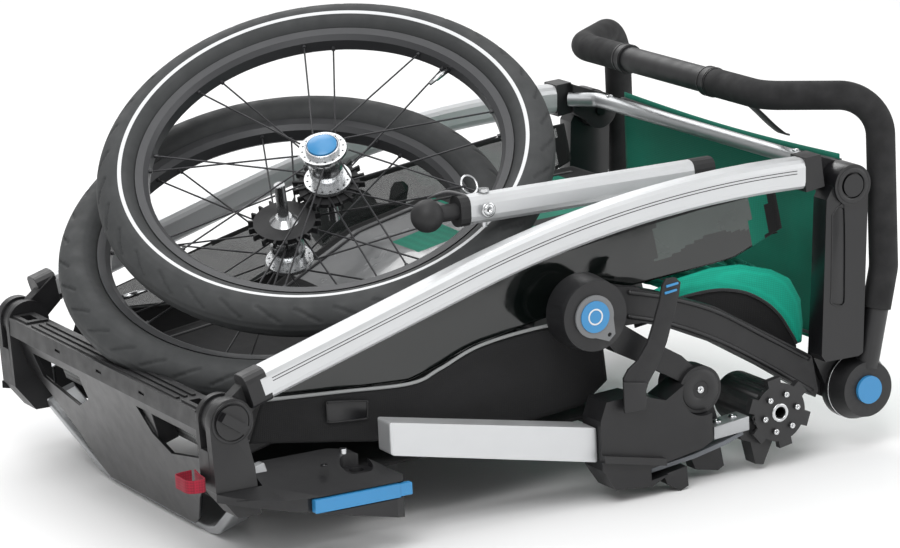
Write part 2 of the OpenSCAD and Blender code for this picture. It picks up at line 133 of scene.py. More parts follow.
class Graph:
    """A small helper for building one material's nodes."""

    def __init__(self, name):
        self.mat = bpy.data.materials.new(name)
        self.mat.use_nodes = True
        self.tree = self.mat.node_tree
        self.shader = self.tree.nodes["Principled BSDF"]
        coords = self.add("ShaderNodeTexCoord")
        self.place = coords.outputs["Object"]

    def add(self, kind, **sets):
        node = self.tree.nodes.new(kind)
        for key, value in sets.items():
            setattr(node, key, value)
        return node

    def link(self, a, b):
        self.tree.links.new(a, b)

    def noise(self, scale, detail=4):
        node = self.add("ShaderNodeTexNoise")
        node.inputs["Scale"].default_value = scale
        node.inputs["Detail"].default_value = detail
        self.link(self.place, node.inputs["Vector"])
        return node.outputs["Fac"]

    def spread(self, value, low, high):
        """A noise value spread from low to high."""
        node = self.add("ShaderNodeMapRange")
        node.inputs["From Min"].default_value = NOISE_LOW
        node.inputs["From Max"].default_value = NOISE_HIGH
        node.inputs["To Min"].default_value = low
        node.inputs["To Max"].default_value = high
        self.link(value, node.inputs["Value"])
        return node.outputs["Result"]

    def mix(self, factor, a, b):
        """A colour between a and b. Each is a colour or another node's output."""
        node = self.add("ShaderNodeMix", data_type="RGBA")
        self.link(factor, node.inputs["Factor"])
        for socket, value in ((node.inputs["A"], a), (node.inputs["B"], b)):
            if isinstance(value, tuple):
                socket.default_value = value
            else:
                self.link(value, socket)
        return node.outputs["Result"]

    def math(self, how, a, b):
        """A sum on two values. Each is a number or another node's output."""
        node = self.add("ShaderNodeMath", operation=how)
        for socket, value in zip(node.inputs, (a, b)):
            if isinstance(value, (int, float)):
                socket.default_value = value
            else:
                self.link(value, socket)
        return node.outputs[0]

    def bump(self, height, strength, distance, after=None):
        """Relief on the surface, added to the relief in after."""
        node = self.add("ShaderNodeBump")
        node.inputs["Strength"].default_value = strength
        node.inputs["Distance"].default_value = distance
        self.link(height, node.inputs["Height"])
        if after is not None:
            self.link(after, node.inputs["Normal"])
        self.link(node.outputs["Normal"], self.shader.inputs["Normal"])
        return node.outputs["Normal"]


def shade(rgb, k):
    """The colour k times as light, with full alpha."""
    return (min(1, rgb[0] * k), min(1, rgb[1] * k), min(1, rgb[2] * k), 1)


def solid(name, rgb, rough, metal=0.0, grain=900, grain_h=0.00005, vary=0.18, coat=0.0, scuff=0.0):
    """Plastic, rubber or metal: cloudy colour, uneven gloss, fine grain, paler scuffs on edges."""
    g = Graph(name)
    cloud = g.noise(14, 5)
    colour = g.mix(cloud, shade(rgb, 1 - vary), shade(rgb, 1 + vary))
    if scuff:
        edge = g.add("ShaderNodeNewGeometry").outputs["Pointiness"]
        worn = g.add("ShaderNodeMapRange")
        worn.inputs["From Min"].default_value = WORN_FROM
        worn.inputs["From Max"].default_value = WORN_TO
        worn.inputs["To Max"].default_value = scuff
        g.link(edge, worn.inputs["Value"])
        colour = g.mix(worn.outputs["Result"], colour, WORN_TONE)
    g.link(colour, g.shader.inputs["Base Color"])
    g.shader.inputs["Metallic"].default_value = metal
    gloss = g.spread(g.noise(55), rough * (1 - GLOSS_VARY), min(1, rough * (1 + GLOSS_VARY)))
    g.link(gloss, g.shader.inputs["Roughness"])
    g.shader.inputs["Coat Weight"].default_value = coat
    g.shader.inputs["Coat Roughness"].default_value = 0.2
    g.bump(g.noise(grain, 3), 0.35, grain_h)
    return g.mat


def cloth(name, rgb, pitch=0.0011, sheen=0.25, vary=0.16, gap_shade=0.45):
    """Woven cloth: threads pitch metres apart, with painted shade between them, and soft blotches."""
    g = Graph(name)
    threads = []
    for axis in ("X", "Y", "Z"):
        wave = g.add("ShaderNodeTexWave", wave_type="BANDS", bands_direction=axis)
        wave.inputs["Scale"].default_value = WAVE_PERIOD / pitch / 2
        wave.inputs["Distortion"].default_value = 0.6
        wave.inputs["Detail"].default_value = 1
        g.link(g.place, wave.inputs["Vector"])
        threads.append(wave.outputs["Fac"])
    weave = g.math("MULTIPLY", g.math("MAXIMUM", threads[0], threads[1]), threads[2])
    weave = g.math("MAXIMUM", weave, g.math("MULTIPLY", threads[0], threads[1]))
    patch = g.mix(g.noise(22, 5), shade(rgb, 1 - vary), shade(rgb, 1 + vary))
    # painted shade: the colour is darker in the gaps between the threads
    g.link(g.mix(weave, shade(rgb, 1 - gap_shade), patch), g.shader.inputs["Base Color"])
    g.shader.inputs["Roughness"].default_value = 0.85
    g.shader.inputs["Sheen Weight"].default_value = sheen
    first = g.bump(weave, 0.5, 0.00025)
    g.bump(g.noise(60, 5), 0.3, 0.0012, after=first)
    return g.mat


def film(name, rgb, rough, alpha):
    """Vinyl film: glossy and slightly wavy, with a cloudy tint."""
    g = Graph(name)
    g.link(g.mix(g.noise(9, 5), shade(rgb, 0.72), shade(rgb, 1.25)), g.shader.inputs["Base Color"])
    g.link(g.spread(g.noise(30, 3), rough * 0.7, rough * 1.5), g.shader.inputs["Roughness"])
    g.shader.inputs["Coat Weight"].default_value = 0.6
    g.shader.inputs["Coat Roughness"].default_value = 0.06
    g.shader.inputs["Alpha"].default_value = alpha
    g.bump(g.noise(13, 4), 0.35, 0.004)
    return g.mat


# Each look, by the name that the pieces below use for it.
M = {
    "plastic": solid("black_plastic",
                     (0.0085, 0.0085, 0.0095), 0.46, grain=1500, grain_h=0.00008, scuff=0.02),
    "smooth": solid("smooth_plastic",
                    (0.0065, 0.0065, 0.0075), 0.32, grain=700, grain_h=0.00003, coat=0.1),
    "sleeve": solid("grip_sleeve", (0.011, 0.011, 0.012), 0.5, grain=900, grain_h=0.00005),
    "alu": solid("silver_aluminium",
                 (0.62, 0.63, 0.64), 0.42, metal=0.6, grain=2600, grain_h=0.00004, vary=0.03),
    "bar": solid("satin_aluminium",
                 (0.43, 0.44, 0.45), 0.36, metal=0.8, grain=2200, grain_h=0.00004, vary=0.05),
    "steel": solid("bright_steel",
                   (0.62, 0.63, 0.64), 0.22, metal=1.0, grain=1800, grain_h=0.00003, vary=0.08),
    "dark_steel": solid("dark_steel", (0.035, 0.035, 0.038), 0.38, metal=0.5, grain=1500, vary=0.2),
    "hub": solid("machined_hub",
                 (0.66, 0.67, 0.68), 0.25, metal=0.95, grain=2000, grain_h=0.00003, vary=0.06),
    "rim": solid("anodised_rim", (0.047, 0.048, 0.051), 0.38, metal=0.3, grain=1600, vary=0.1),
    "tyre": solid("tyre_rubber",
                  (0.034, 0.036, 0.037), 0.72, grain=420, grain_h=0.00018, vary=0.22),
    "stripe": solid("reflective_stripe",
                    (0.66, 0.67, 0.68), 0.45, grain=2600, grain_h=0.00005, vary=0.05),
    "blue": solid("blue_plastic",
                  (0.028, 0.22, 0.47), 0.36, grain=1200, grain_h=0.00004, vary=0.08, coat=0.3),
    "grey": solid("grey_plastic", (0.16, 0.165, 0.17), 0.42, grain=1200, vary=0.12),
    "foam": solid("foam_rubber",
                  (0.010, 0.010, 0.0108), 0.84, grain=650, grain_h=0.0003, vary=0.25),
    "rubber": solid("moulded_rubber",
                    (0.010, 0.010, 0.011), 0.6, grain=800, grain_h=0.00012, vary=0.2),
    "leaf": solid("composite_spring",
                  (0.13, 0.14, 0.155), 0.38, grain=500, grain_h=0.0001, vary=0.12),
    "green": cloth("green_cloth", (0.0, 0.21, 0.135), sheen=0.03, gap_shade=0.3),
    "bright": cloth("bright_green_cloth", (0.003, 0.50, 0.34), sheen=0.03, gap_shade=0.3, vary=0.12),
    "black": cloth("black_cloth", (0.0075, 0.0075, 0.0085), sheen=0.05),
    "mesh": cloth("light_mesh", (0.55, 0.56, 0.56), pitch=0.0022, gap_shade=0.7, vary=0.06),
    "red": cloth("red_webbing", (0.33, 0.006, 0.028), pitch=0.0014, sheen=0.05),
    "webbing": cloth("black_webbing", (0.022, 0.022, 0.025), pitch=0.0014),
    "piping": solid("grey_piping", (0.30, 0.31, 0.31), 0.55, grain=900),
    "window": film("dark_window_film", (0.004, 0.006, 0.0055), 0.1, 0.95),
    "far_film": film("far_window_film", (0.03, 0.034, 0.033), 0.14, 0.66),
    # painted reflection: a paler copy of the window film, laid on part of the near window
    "pale": film("painted_reflection_film", (0.052, 0.068, 0.062), 0.2, 0.92),
    "clear": film("clear_cover_film", (0.23, 0.235, 0.24), 0.2, 0.9),
}

# The CAD nodes that wear each look.
NODE_LOOK = {
    "plastic": ["front_crossbar", "corner_brackets", "wings", "rear_brackets", "tube_collars",
                "rear_links", "lower_links", "handle_tube", "swing_left", "swing_right"],
    "smooth": ["footwell_guard", "arm_plates", "knob_left", "knob_right"],
    "sleeve": ["centre_sleeve"],
    "alu": ["side_tubes", "tow_tube", "base_rails"],
    "bar": ["bumper_bar", "hoop"],
    "steel": ["axle_upper", "axle_lower", "hitch_pin", "wing_screws"],
    "dark_steel": ["rear_crossbeam", "spokes_upper", "spokes_lower"],
    "hub": ["hub_upper", "hub_lower"],
    "rim": ["rim_upper", "rim_lower"],
    "blue": ["latch_left", "latch_right", "fold_button_left", "fold_button_right", "bar_button_left",
             "bar_button_right", "cap_upper", "cap_lower"],
    "grey": ["hub_rings"],
    "foam": ["foam_grip"],
    "rubber": ["tow_ball", "brake_ring_upper", "brake_ring_lower"],
    "leaf": ["leaf_left", "leaf_right"],
}
# Radius of the rounded edges of each CAD node that has them, in metres.
ROUNDED = {"front_crossbar": 0.0012, "corner_brackets": 0.0016, "wings": 0.004, "rear_brackets": 0.002,
           "tube_collars": 0.0015, "rear_links": 0.0025, "lower_links": 0.0025, "arm_plates": 0.0025,
           "latch_left": 0.0014, "latch_right": 0.0014, "bumper_bar": 0.0022, "footwell_guard": 0.0009,
           "swing_left": 0.0012, "swing_right": 0.0012, "base_rails": 0.003, "knob_left": 0.001,
           "knob_right": 0.001, "leaf_left": 0.0007, "leaf_right": 0.0007}


WELD_GAP = 0.00002
SHARP_ANGLE = math.radians(38)


def dress_cad():
    """Give the CAD nodes their looks and round their edges."""
    for look, names in NODE_LOOK.items():
        for name in names:
            node = NODES[name]
            node.data.materials.clear()
            node.data.materials.append(M[look])
            if name in ROUNDED:
                weld = node.modifiers.new("weld", "WELD")
                weld.merge_threshold = WELD_GAP
                soft = node.modifiers.new("edges", "BEVEL")
                soft.width, soft.segments = ROUNDED[name], 3
                soft.limit_method, soft.angle_limit = "ANGLE", SHARP_ANGLE


# ---------------------------------------------------------------- mesh helpers
def new_piece(name, verts, faces, look, body):
    """A smooth-shaded mesh that rides a body and has a look."""
    mesh = bpy.data.meshes.new(name)
    mesh.from_pydata([tuple(v) for v in verts], [], faces)
    mesh.validate()
    bm = bmesh.new()
    bm.from_mesh(mesh)
    bmesh.ops.recalc_face_normals(bm, faces=bm.faces)
    bm.to_mesh(mesh)
    bm.free()
    mesh.materials.append(M[look])
    for face in mesh.polygons:
        face.use_smooth = True
    piece = bpy.data.objects.new(name, mesh)
    bpy.context.scene.collection.objects.link(piece)
    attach(piece, body)
    return piece


def bake(piece, *modifiers):
    """Add (kind, settings) modifiers and apply them all."""
    for kind, sets in modifiers:
        m = piece.modifiers.new(kind.lower(), kind)
        for key, value in sets.items():
            setattr(m, key, value)
    bpy.context.view_layer.update()
    done = bpy.data.meshes.new_from_object(piece.evaluated_get(bpy.context.evaluated_depsgraph_get()))
    piece.modifiers.clear()
    piece.data = done
    return piece


def sheet_grid(name, at, nu, nv, thick, look, body):
    """A closed sheet: at(u, v) gives its middle surface for u and v from 0 to 1."""
    verts = [at(i / nu, j / nv) for j in range(nv + 1) for i in range(nu + 1)]
    w = nu + 1
    faces = [(j * w + i, j * w + i + 1, (j + 1) * w + i + 1, (j + 1) * w + i)
             for j in range(nv) for i in range(nu)]
    piece = new_piece(name, verts, faces, look, body)
    return bake(piece, ("SOLIDIFY", {"thickness": thick, "offset": 0.0}))


def sweep(name, path, profile, look, body, closed=False):
    """A profile of (side, up) points carried along a path, with capped ends."""
    n, k = len(path), len(profile)
    verts, faces = [], []
    side = None
    for i, p in enumerate(path):
        a = path[(i - 1) % n] if closed or i else p
        b = path[(i + 1) % n] if closed or i < n - 1 else p
        d = (b - a).normalized()
        if side is None:
            side = d.cross(Vector((0, 0, 1)) if abs(d.z) < 0.9 else Vector((0, 1, 0))).normalized()
        side = (side - d * side.dot(d)).normalized()
        up = side.cross(d)
        verts += [p + side * s + up * t for s, t in profile]
    for i in range(n if closed else n - 1):
        for j in range(k):
            a, b = i * k, ((i + 1) % n) * k
            faces.append((a + j, a + (j + 1) % k, b + (j + 1) % k, b + j))
    if not closed:
        faces += [tuple(range(k)), tuple(range((n - 1) * k, n * k))]
    return new_piece(name, verts, faces, look, body)


def ring_profile(r, n=10):
    """A circle of radius r with n points."""
    return [(r * math.cos(2 * math.pi * i / n), r * math.sin(2 * math.pi * i / n)) for i in range(n)]


def strap_profile(width, thick):
    """The section of a flat strap with thin edges."""
    w, t = width / 2, thick / 2
    return [(-w, -t * 0.5), (-w * 0.94, -t), (w * 0.94, -t), (w, -t * 0.5),
            (w, t * 0.5), (w * 0.94, t), (-w * 0.94, t), (-w, t * 0.5)]


def curve_through(points, per=8):
    """A smooth line through the points."""
    pts = [points[0], *points, points[-1]]
    out = []
    for i in range(1, len(pts) - 2):
        for k in range(per):
            t = k / per
            a, b, c, d = pts[i - 1], pts[i], pts[i + 1], pts[i + 2]
            out.append(0.5 * (2 * b + (c - a) * t + (2 * a - 5 * b + 4 * c - d) * t * t
                              + (3 * b - a - 3 * c + d) * t ** 3))
    out.append(points[-1])
    return out


def along(points, t):
    """The point at share t of the length of a polyline."""
    lengths = [(b - a).length for a, b in zip(points, points[1:])]
    want = t * sum(lengths)
    for a, b, length in zip(points, points[1:], lengths):
        if want <= length or b is points[-1]:
            return a.lerp(b, min(1, want / max(length, 1e-9)))
        want -= length
    return points[-1]


def crumple(p, scale, seed):
    """A smooth, repeatable wrinkle height from -1 to 1."""
    q = Vector((p.x * scale + seed, p.y * scale - seed, p.z * scale + 2 * seed))
    return noise.fractal(q, 1.0, 2.0, 4)


def cloth_sheet(name, at, nu, nv, thick, look, body):
    """A sheet_grid piece; the size of its surface laid out flat is worked out but not used."""
    pts = [[at(i / nu, j / nv) for i in range(nu + 1)] for j in range(nv + 1)]
    across = max(sum((b - a).length for a, b in zip(row, row[1:])) for row in pts)
    columns = list(zip(*pts))
    down = max(sum((b - a).length for a, b in zip(col, col[1:])) for col in columns)
    piece = sheet_grid(name, at, nu, nv, thick, look, body)
    return piece


def slab(name, outline, y0, y1, look, body, edge):
    """An outline in the XZ plane, in millimetres, carried from y0 to y1, with rounded edges."""
    pts = [P(x, 0, z) for x, z in outline]
    n = len(pts)
    verts = [(p.x, y0 / 1000, p.z) for p in pts] + [(p.x, y1 / 1000, p.z) for p in pts]
    faces = [tuple(range(n)), tuple(range(n, 2 * n))]
    faces += [(i, (i + 1) % n, n + (i + 1) % n, n + i) for i in range(n)]
    piece = new_piece(name, verts, faces, look, body)
    return bake(piece, ("BEVEL", {"width": edge, "segments": 3, "limit_method": "ANGLE",
                                  "angle_limit": math.radians(35)}))


def turned(name, centre, axis, profile, look, body, steps=64):
    """A turned shape: profile is a closed loop of (radius, height along the axis) in millimetres."""
    w = Vector(axis).normalized()
    u = w.cross(Vector((0, -1, 0)) if abs(w.y) < 0.9 else Vector((1, 0, 0))).normalized()
    v = w.cross(u)
    k = len(profile)
    verts, faces = [], []
    for i in range(steps):
        a = 2 * math.pi * i / steps
        out = u * math.cos(a) + v * math.sin(a)
        verts += [centre + out * (r / 1000) + w * (h / 1000) for r, h in profile]
    for i in range(steps):
        for j in range(k):
            a, b = i * k, ((i + 1) % steps) * k
            faces.append((a + j, a + (j + 1) % k, b + (j + 1) % k, b + j))
    return new_piece(name, verts, faces, look, body)


def bolt(name, centre, axis, r, h, look, body):
    """A bevelled screw head of radius r and height h in millimetres, with a round recess."""
    profile = [(0.01, -0.4), (r, -0.4), (r, h * 0.5), (r * 0.8, h), (r * 0.45, h),
               (r * 0.4, h * 0.45), (0.01, h * 0.45)]
    return turned(name, centre, axis, profile, look, body, 24)


PUFF_STEPS = 20


def puff(piece, voxel, cap, pressure):
    """Voxel remesh, then Cloth under pressure, with each point's move capped at cap metres."""
    bake(piece, ("REMESH", {"mode": "VOXEL", "voxel_size": voxel}))
    count = len(piece.data.vertices)
    rest = np.zeros(count * 3, np.float32)
    piece.data.vertices.foreach_get("co", rest)
    cloth_mod = piece.modifiers.new("cloth", "CLOTH")
    cloth_mod.settings.use_pressure = True
    cloth_mod.settings.uniform_pressure_force = pressure
    cloth_mod.settings.effector_weights.gravity = 0
    cloth_mod.point_cache.frame_end = PUFF_STEPS
    for number in range(1, PUFF_STEPS + 1):
        bpy.context.scene.frame_set(number)
    blown = piece.evaluated_get(bpy.context.evaluated_depsgraph_get()).data
    moved = np.zeros(count * 3, np.float32)
    blown.vertices.foreach_get("co", moved)
    piece.modifiers.clear()
    bpy.context.scene.frame_set(1)
    step = (moved - rest).reshape(-1, 3)
    far = np.linalg.norm(step, axis=1, keepdims=True)
    step *= np.minimum(1, cap / np.maximum(far, 1e-9))
    piece.data.vertices.foreach_set("co", (rest.reshape(-1, 3) + step).ravel())
    piece.data.update()
    bake(piece, ("SUBSURF", {"levels": 1, "render_levels": 1}))
    for face in piece.data.polygons:
        face.use_smooth = True


# ---------------------------------------------------------------- wheels
JOINTS = {j["name"]: j for j in frame["joints"]}
# Lengths are in millimetres. Angles are degrees around the tyre's section, from its tread's middle.
TYRE_MID, TYRE_R = 227.0, 23.5
BEAD = 122
STRIPE = (95, 109)
SIPES = 36
SIPE_FROM, SIPE_TO, SIPE_SLANT, SIPE_DEPTH = 24, 66, 44, 2.0
GROOVE_AT, GROOVE_HALF, GROOVE_DEPTH = 9, 2.6, 0.7
RIM_BED, RIM_BED_HALF = 206.8, 12.0
TYRE_STEPS, SECTION_STEPS = 720, 49


def make_tyre(which):
    """A wheel's tyre with its tread and reflective stripe, and its valve and two hub rings."""
    joint = JOINTS[which + "_wheel_spin"]
    centre, w = Vector(joint["pos_m"]), Vector(joint["axis"]).normalized()
    u = w.cross(Vector((0, -1, 0))).normalized()
    v = w.cross(u)
    rings, k = TYRE_STEPS, SECTION_STEPS
    angle = np.linspace(-BEAD, BEAD, k)
    theta = np.arange(rings) * 2 * math.pi / rings
    ph, th = np.meshgrid(np.radians(angle), theta)
    deg = np.degrees(ph)
    away = np.abs(deg)
    phase = th * SIPES / (2 * math.pi) + 0.5 * (deg > 0) + 0.75 * (away - SIPE_FROM) / SIPE_SLANT
    sipe = (np.abs(phase - np.round(phase)) < 0.06) & (away > SIPE_FROM) & (away < SIPE_TO)
    groove = np.abs(away - GROOVE_AT) < GROOVE_HALF
    # A fine line on the shoulder, and a stripe that stands proud of the wall.
    step = 0.28 * (np.abs(away - 72) < 3) + 0.3 * (np.abs(away - 102) > 7) * (away > 92)
    r = TYRE_R - SIPE_DEPTH * sipe - GROOVE_DEPTH * groove - step
    radius, height = TYRE_MID + r * np.cos(ph), r * np.sin(ph)
    # The inside of the tyre closes the section just above the rim's bed.
    radius = np.concatenate([radius, np.full((rings, 2), RIM_BED)], axis=1) / 1000
    bed = np.tile([RIM_BED_HALF, -RIM_BED_HALF], (rings, 1))
    height = np.concatenate([height, bed], axis=1) / 1000
    k += 2
    c, s = np.cos(theta)[:, None], np.sin(theta)[:, None]
    U, V, W = (np.array(a) for a in (u, v, w))
    pts = (np.array(centre) + (radius * c)[..., None] * U + (radius * s)[..., None] * V
           + height[..., None] * W)
    idx = np.arange(rings * k).reshape(rings, k)
    nxt, side = np.roll(idx, -1, axis=0), np.roll(idx, -1, axis=1)
    quads = np.stack([idx, side, np.roll(nxt, -1, axis=1), nxt], axis=-1).reshape(-1, 4)
    body = "wheel_" + which
    tyre = new_piece("tyre_tread_" + which, pts.reshape(-1, 3).tolist(), quads.tolist(), "tyre",
                     body)
    tyre.data.materials.append(M["stripe"])
    mids = np.concatenate([(angle[:-1] + angle[1:]) / 2, [180, 180, 180]])
    for face in tyre.data.polygons:
        if STRIPE[0] < mids[face.index % k] < STRIPE[1]:
            face.material_index = 1
    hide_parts("tyre_" + which)
    valve = centre + u * 0.184 + v * 0.034
    turned("valve_" + which, valve, centre - valve,
           [(0.01, -8), (3, -8), (3, 14), (2.2, 15), (2.2, 24), (0.01, 24)], "steel", body, 20)
    turned("hub_shell_ring_" + which, centre, w, [(17.6, -13), (18.6, -12), (18.6, 12), (17.6, 13)],
           "steel", body)
    turned("cap_collar_" + which, centre, w, [(16.3, 27.9), (17.6, 29.2), (19, 28.8), (19, 27.4)],
           "steel", body)


# ---------------------------------------------------------------- frame detail
# The side tube's centre line is an arc of radius ARC_R about (ARC_X, ARC_Z). It starts ARC_A degrees
# ahead of its top, and the tube is straight before that.
ARC_R, ARC_A, ARC_X, ARC_Z = 1280, 16.57, 655.1, -960.5
GROOVE_START, GROOVE_STOP = -246, 404
TUBE_FACE = 283.0  # distance of the side tube's outer face from the middle
# Centre lines of the two rails on the rear link, and the outline of the arm's badge plate, as (x, z).
LINK_UPPER = [(486, 218), (532, 205), (593, 180.5), (655, 142.5), (711, 108)]
LINK_LOWER = [(484, 192), (531, 177.5), (593, 149), (656, 110.5), (714, 71)]
BADGE = [(729, 270), (725.5, 190), (725, 173), (740.5, 169), (743.5, 190), (745.5, 274), (738, 279)]
AXLE_BOLTS, AXLE_BOLT_CIRCLE = 6, 21


def tube_line(offset, start, stop, steps=90):
    """Points along the side tube's centre line, moved offset mm to its upper side."""
    a = math.radians(ARC_A)
    head = Vector((ARC_X - ARC_R * math.sin(a), ARC_Z + ARC_R * math.cos(a)))
    out = []
    for i in range(steps + 1):
        s = start + (stop - start) * i / steps
        if s < 0:
            p = head + Vector((math.cos(a), math.sin(a))) * s + Vector((-math.sin(a), math.cos(a))) * offset
        else:
            t = a - s / ARC_R
            p = Vector((ARC_X - (ARC_R + offset) * math.sin(t), ARC_Z + (ARC_R + offset) * math.cos(t)))
        out.append(p)
    return out


def tube_detail(s, side):
    """The two fine grooves along the outer face of a side tube."""
    for k, offset in enumerate((2.0, 5.2)):
        line = [P(p.x, s * TUBE_FACE, p.y) for p in tube_line(offset, GROOVE_START, GROOVE_STOP)]
        sweep(f"tube_groove_{side}_{k}", line, ring_profile(0.00045, 6), "dark_steel", "upper_frame")


def pivot_detail(s, side):
    """Rings and screws on the pivots of one side."""
    out = (0, s, 0)
    turned(f"pivot_rim_{side}_0", at_pivot(FRONT_PIVOT, s * 279), out,
           [(18.9, -0.3), (22.6, -0.3), (22.2, 0.9), (19.4, 0.9)], "smooth", "base")
    turned("arm_pivot_ring_" + side, at_pivot(REAR_PIVOT, s * 292), out,
           [(14, -0.4), (20, -0.4), (19.4, 0.9), (14.6, 0.9)], "plastic", "roof_arms")
    turned("hub_line_" + side, at_pivot(HANDLE_HUB, s * 265.5), out,
           [(37.2, -0.5), (38.1, -0.5), (38.1, 0.7), (37.2, 0.7)], "steel", "handlebar")
    turned("fold_ring_" + side, at_pivot(FOLD_BUTTON, s * 301.6), out,
           [(7, -0.3), (9, -0.3), (8.7, 0.5), (7.3, 0.5)], "stripe", "fold_button_" + side)
    pivot = at_pivot(LINK_PIVOT, s * 292)
    bolt("link_rivet_" + side, pivot, out, 4.2, 1.6, "steel", "lower_links")
    turned("link_cap_" + side, pivot, out, [(9, -0.3), (23, -0.3), (22, 0.6), (10, 0.6)], "plastic",
           "lower_links")


def badge_detail(s, side):
    """The badge on the arm, as a plain plate with a raised edge."""
    slab("badge_plate_" + side, BADGE, s * 286.4, s * 287.3, "smooth", "roof_arms",
         0.0004)
    edge = curve_through([P(x, s * 288.0, z) for x, z in BADGE + BADGE[:1]], 4)[:-1]
    sweep("badge_edge_" + side, edge, ring_profile(0.0009, 6), "plastic", "roof_arms",
          closed=True)


def suspension_detail(s, side):
    """A pale clamp block with two screws, the axle housing's bolts and the steel ring in its bore."""
    swing = "swing_" + side
    slab("clamp_block_" + side, [(568, 47.6), (568, 61.6), (613, 66.6), (613, 50.9)], s * 293,
         s * 266.4, "bar", swing, 0.0012)
    for k, x in enumerate((580, 600)):
        bolt(f"clamp_screw_{side}_{k}", P(x, s * 279.5, 62.9 + (x - 580) * 0.11), (0, 0, 1), 5.2, 2.2,
             "steel", swing)
    x, z = AXLE_BORE
    for k in range(AXLE_BOLTS):
        a = math.radians(k * 360 / AXLE_BOLTS + 50)
        place = P(x + AXLE_BOLT_CIRCLE * math.cos(a), s * 293, z - AXLE_BOLT_CIRCLE * math.sin(a))
        bolt(f"axle_bolt_{side}_{k}", place, (0, s, 0), 3.3, 1.5, "steel", swing)
    turned("bore_ring_" + side, at_pivot(AXLE_BORE, s * 290), (0, s, 0),
           [(6.6, -3), (10.4, -3), (10.4, 0.8), (9.4, 1.4), (7.2, 1.4), (6.6, 0.8)], "steel", swing)


def link_detail(s, side):
    """Two raised rails on the outer face of the rear link, and the wing's rivet."""
    for k, rail in enumerate((LINK_UPPER, LINK_LOWER)):
        path = curve_through([P(x, s * 262.2, z) for x, z in rail])
        sweep(f"link_rail_{side}_{k}", path, ring_profile(0.0026, 8), "plastic", "rear_links")
    bolt("wing_rivet_" + side, P(106, s * 283, 99.5), (0, 0, 1), 4, 1.2, "smooth", "base")


def tow_arm_detail():
    """The bolt near the ball, and the safety tether: a webbing strap with a metal loop."""
    spot = P(337, -234.1, 325)
    bolt("tow_bolt", spot, (0, -1, 0), 6.2, 2.4, "steel", "tow_arm")
    turned("tow_bolt_washer", spot, (0, -1, 0), [(5, -0.3), (8.2, -0.3), (8, 0.9), (5, 0.9)],
           "steel", "tow_arm")
    tether = curve_through([P(322, -214, 338.4), P(305, -208, 344), P(296, -198, 341),
                            P(300, -184, 337), P(318, -178, 339), P(338, -184, 341)])
    sweep("tow_tether", tether, strap_profile(0.014, 0.0024), "webbing", "tow_arm")
    loop = [P(341 + 9 * math.cos(a), -186 + 6 * math.sin(a), 343 + 9 * math.sin(a))
            for a in (2 * math.pi * i / 28 for i in range(28))]
    sweep("tether_loop", loop, ring_profile(0.0013, 8), "steel", "tow_arm", closed=True)


def make_frame_detail():
    """Small hard parts on the frame, side by side, then those on the tow arm, hoop and handlebar."""
    for s, side in SIDES:
        tube_detail(s, side)
        pivot_detail(s, side)
        badge_detail(s, side)
        suspension_detail(s, side)
        link_detail(s, side)
    tow_arm_detail()
    for s, side in SIDES:
        bolt("hoop_rivet_" + side, P(741, s * 200, 326.5), (0, 0, 1), 4, 1.4, "steel", "upper_frame")
        for k, y in enumerate((86, 97)):
            turned(f"sleeve_ring_{side}_{k}", P(703, s * (y - 0.8), 392), (0, s, 0),
                   [(16.7, 0), (17.1, 0.3), (17.1, 1.5), (16.7, 1.8)], "smooth", "handlebar")


# ---------------------------------------------------------------- soft goods
def line_of(points):
    """An (x, z) line in millimetres as points in the middle plane."""
    return [P(x, 0, z) for x, z in points]


def between(lower, upper, y_at, ripple, seed):
    """A surface from one XZ line to another, with wrinkles up to ripple mm. y_at(u, v) is its Y in mm."""
    low, high = line_of(lower), line_of(upper)

    def at(u, v):
        p = along(low, u).lerp(along(high, u), v)
        soft = math.sin(math.pi * min(1, max(0, u))) ** 0.5 * math.sin(math.pi * v) ** 0.7
        q = Vector((p.x, y_at(u, v) / 1000, p.z))
        q.y += ripple / 1000 * crumple(q, 9, seed) * soft * (1 if q.y > 0 else -1)
        return q
    return at


# Edges of the soft parts as (x, z) lines in millimetres, front to rear.
SIDE_LOW = [(46, 122), (110, 112), (211, 96), (300, 92), (372, 89), (440, 95), (472, 118)]
SIDE_TOP = [(62, 164), (152, 158), (234, 153), (270, 163), (318, 180), (391, 188), (466, 186)]
GLASS_LOW = [(64, 168), (152, 161), (236, 156), (300, 174), (380, 193), (500, 214), (640, 226), (702, 250)]
GLASS_TOP = [(58, 176), (150, 201), (240, 226), (330, 248), (420, 268), (520, 282), (600, 291), (694, 296)]
SEAT_ARCH = [(500, 187), (535, 203), (573, 213), (612, 218), (650, 216), (690, 204), (714, 190),
             (727, 165), (729, 140), (727, 118)]
SEAT_INNER = [(512, 180), (548, 187), (585, 192), (622, 192), (655, 184), (682, 168), (700, 150),
              (710, 134), (716, 124), (720, 116)]
MESH_LOW = [(516, 166), (548, 170), (585, 160), (622, 146), (655, 130), (682, 118), (700, 112),
            (710, 110), (716, 109), (720, 108)]
LABEL = [(134, 133), (134, 149), (137, 152), (178, 146), (181, 143), (180, 129), (177, 127), (137, 130)]
COVER_LINE = [(42, 106), (100, 120), (226, 138), (300, 162), (400, 214), (500, 236), (700, 244)]
FLOOR_LINE = [(86, 65.6), (190, 69), (300, 71), (470, 81)]

# Windows: black binding beyond these x and above this share of the height, then green cloth seen
# through the near one, and a painted reflection: a pale patch on the near one from this x.
BINDING_FRONT, BINDING_REAR, BINDING_TOP = 74, 682, 0.94
GREEN_FROM, PAINTED_REFLECTION_FROM = 661, 540

# Cover: black borders and seams, and green cloth seen through the film.
BORDER_SIDE, BORDER_FRONT, BORDER_REAR = 206, 322, 664
CROSS_SEAM, LONG_SEAM = 492, 18


def height_at(line, x):
    """Height in millimetres of an XZ line at x."""
    return float(np.interp(x, [p[0] for p in line], [p[1] for p in line]))


